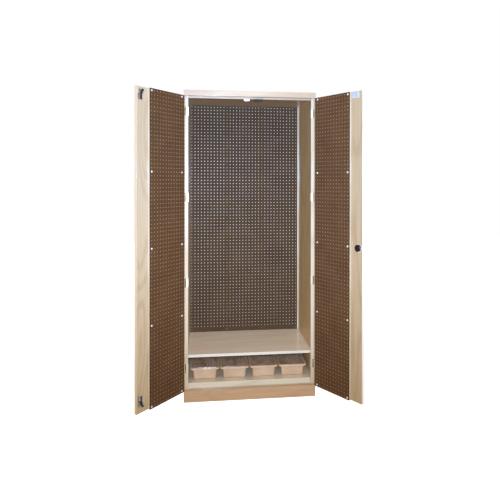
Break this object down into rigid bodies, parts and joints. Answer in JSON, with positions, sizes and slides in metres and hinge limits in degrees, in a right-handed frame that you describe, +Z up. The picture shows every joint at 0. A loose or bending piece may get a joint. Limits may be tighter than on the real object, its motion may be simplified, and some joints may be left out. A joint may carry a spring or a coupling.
{
  "type": "tool cabinet",
  "caption": "Tall wooden tool cabinet: hinged double doors and back lined with perforated boards, a shelf, lidded plastic trays on a low deck, elbow catches and a turn lock.",
  "frame": {"origin": "on the floor, at the centre of the carcass's width and depth", "axes": "+Z up, the doors at the front towards -Y, +X to the right as seen from the front"},
  "size_m": [1.4395, 0.966, 2.134],
  "materials": {
    "birch_ply": "clear varnished, wavy grain",
    "pale_pine": "planed, clear varnished",
    "plinth_wood": "clear varnished",
    "hardboard": "smooth brown hardboard",
    "brass_plate": "brass plated, polished",
    "zinc_steel": "bright zinc plated",
    "spring_steel": "spring wire",
    "blued_steel": "dark blued",
    "white_screw": "white painted",
    "black_lock": "black enamel",
    "pale_ring": "pale painted",
    "nickel_lock": "satin nickel",
    "dark_magnet": "moulded",
    "tan_plastic": "moulded, satin",
    "smoky_plastic": "smoky clear, glossy"
  },
  "bodies": {
    "carcass": {"back_battens": "pale_pine", "back_panel": "birch_ply", "back_pegboard": "hardboard", "back_pegboard_screws": "white_screw", "base_boards": "plinth_wood", "bottom_panel": "birch_ply", "bottom_rail": "pale_pine", "deck_cleats": "pale_pine", "elbow_strike_screws": "zinc_steel", "elbow_strikes": "zinc_steel", "front_sill": "birch_ply", "hinge_frame_leaves_left": "brass_plate", "hinge_frame_leaves_right": "brass_plate", "hinge_frame_screws": "brass_plate", "hinge_pins_left": "brass_plate", "hinge_pins_right": "brass_plate", "magnet_case": "dark_magnet", "plinth_front_board": "plinth_wood", "shelf": "birch_ply", "shelf_pins": "zinc_steel", "side_panel_left": "birch_ply", "side_panel_right": "birch_ply", "stile_left": "birch_ply", "stile_right": "birch_ply", "top_fascia": "birch_ply", "top_panel": "birch_ply", "top_rail": "birch_ply", "tray_deck": "birch_ply"},
    "left_door": {"door_left": "birch_ply", "door_battens_left": "pale_pine", "door_pegboard_left": "hardboard", "door_pegboard_screws_left": "white_screw", "door_flat_screws_left": "brass_plate", "hinge_door_leaves_left": "brass_plate", "elbow_catch_brackets": "zinc_steel", "elbow_catch_pins": "zinc_steel", "elbow_catch_springs": "spring_steel", "elbow_catch_screws": "zinc_steel"},
    "right_door": {"door_right": "birch_ply", "door_battens_right": "pale_pine", "door_pegboard_right": "hardboard", "door_pegboard_screws_right": "white_screw", "door_flat_screws_right": "brass_plate", "hinge_door_leaves_right": "brass_plate", "lock_ring": "pale_ring", "lock_housing": "black_lock", "lock_rose": "nickel_lock", "magnet_plate": "zinc_steel"},
    "upper_lever": {"elbow_lever_top": "blued_steel"},
    "lower_lever": {"elbow_lever_bottom": "blued_steel"},
    "knob": {"lock_knob": "nickel_lock"},
    "bolt": {"lock_bolt": "zinc_steel"},
    "tray_1_body": {"tray_1": "tan_plastic"},
    "lid_1_body": {"tray_lid_1": "smoky_plastic"},
    "tray_2_body": {"tray_2": "tan_plastic"},
    "lid_2_body": {"tray_lid_2": "smoky_plastic"},
    "tray_3_body": {"tray_3": "tan_plastic"},
    "lid_3_body": {"tray_lid_3": "smoky_plastic"},
    "tray_4_body": {"tray_4": "tan_plastic"},
    "lid_4_body": {"tray_lid_4": "smoky_plastic"}
  },
  "joints": [
    {"name": "left_door_hinge", "type": "hinge", "parent": "carcass", "child": "left_door", "pos_m": [-0.446, -0.2863, 1.107], "axis": [0, 0, -1], "range_deg": [-128.5, 1.5]},
    {"name": "right_door_hinge", "type": "hinge", "parent": "carcass", "child": "right_door", "pos_m": [0.446, -0.2863, 1.107], "axis": [0, 0, 1], "range_deg": [-122.5, 7.5]},
    {"name": "upper_lever_pivot", "type": "hinge", "parent": "left_door", "child": "upper_lever", "pos_m": [-0.69658, -0.62429, 2.063], "axis": [-0.6225, -0.7826, 0], "range_deg": [-11.5, 0], "stiffness_Nm_per_rad": 1, "springref_deg": 8.59},
    {"name": "lower_lever_pivot", "type": "hinge", "parent": "left_door", "child": "lower_lever", "pos_m": [-0.69658, -0.62429, 0.14], "axis": [-0.6225, -0.7826, 0], "range_deg": [0, 11.5], "stiffness_Nm_per_rad": 1, "springref_deg": -8.59},
    {"name": "lock_knob_turn", "type": "hinge", "parent": "right_door", "child": "knob", "pos_m": [0.66792, -0.6352, 1.082], "axis": [-0.8434, -0.5373, 0], "range_deg": [0, 90]},
    {"name": "lock_bolt_slide", "type": "slide", "parent": "right_door", "child": "bolt", "axis": [0.5373, -0.8434, 0], "range_m": [0, 0.018]},
    {"name": "tray_1_slide", "type": "slide", "parent": "carcass", "child": "tray_1_body", "axis": [0, -1, 0], "range_m": [0, 0.25]},
    {"name": "lid_1_lift", "type": "slide", "parent": "tray_1_body", "child": "lid_1_body", "axis": [0, 0, 1], "range_m": [0, 0.04]},
    {"name": "tray_2_lift", "type": "slide", "parent": "carcass", "child": "tray_2_body", "axis": [0, 0, 1], "range_m": [0, 0.03]},
    {"name": "lid_2_lift", "type": "slide", "parent": "tray_2_body", "child": "lid_2_body", "axis": [0, 0, 1], "range_m": [0, 0.04]},
    {"name": "tray_3_slide", "type": "slide", "parent": "carcass", "child": "tray_3_body", "axis": [0, -1, 0], "range_m": [0, 0.25]},
    {"name": "lid_3_lift", "type": "slide", "parent": "tray_3_body", "child": "lid_3_body", "axis": [0, 0, 1], "range_m": [0, 0.04]},
    {"name": "tray_4_slide", "type": "slide", "parent": "carcass", "child": "tray_4_body", "axis": [0, -1, 0], "range_m": [0, 0.25]},
    {"name": "lid_4_lift", "type": "slide", "parent": "tray_4_body", "child": "lid_4_body", "axis": [0, 0, 1], "range_m": [0, 0.04]}
  ],
  "couplings": [
    {"joint": "lock_bolt_slide", "follows": "lock_knob_turn", "m_per_rad": 0.011459}
  ]
}
